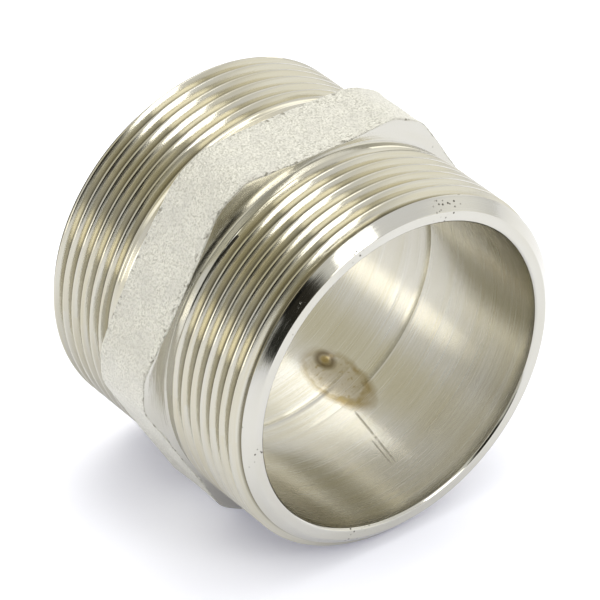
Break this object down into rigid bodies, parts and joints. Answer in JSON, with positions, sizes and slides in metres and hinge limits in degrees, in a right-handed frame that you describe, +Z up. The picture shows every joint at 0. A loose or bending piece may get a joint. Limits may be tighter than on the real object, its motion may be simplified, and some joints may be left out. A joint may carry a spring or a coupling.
{
  "type": "hex nipple",
  "caption": "Nickel-plated brass hex nipple with a parallel male pipe thread at each end of a central wrench hexagon and a plain through bore, to join two female pipe ports.",
  "frame": {"origin": "on the bore axis, halfway between the two end faces", "axes": "+X along the bore axis towards one end face, +Z up through the middle of one hexagon flat, +Y towards a hexagon corner; the fitting lies on the opposite flat"},
  "size_m": [0.0494, 0.0662, 0.0604],
  "materials": {
    "nickel_plated_brass": "bright nickel plate on turned threads, end faces and bore; matt nickel plate on the as-forged hexagon flats"
  },
  "bodies": {
    "root": {"nipple_body": "nickel_plated_brass"}
  },
  "joints": []
}
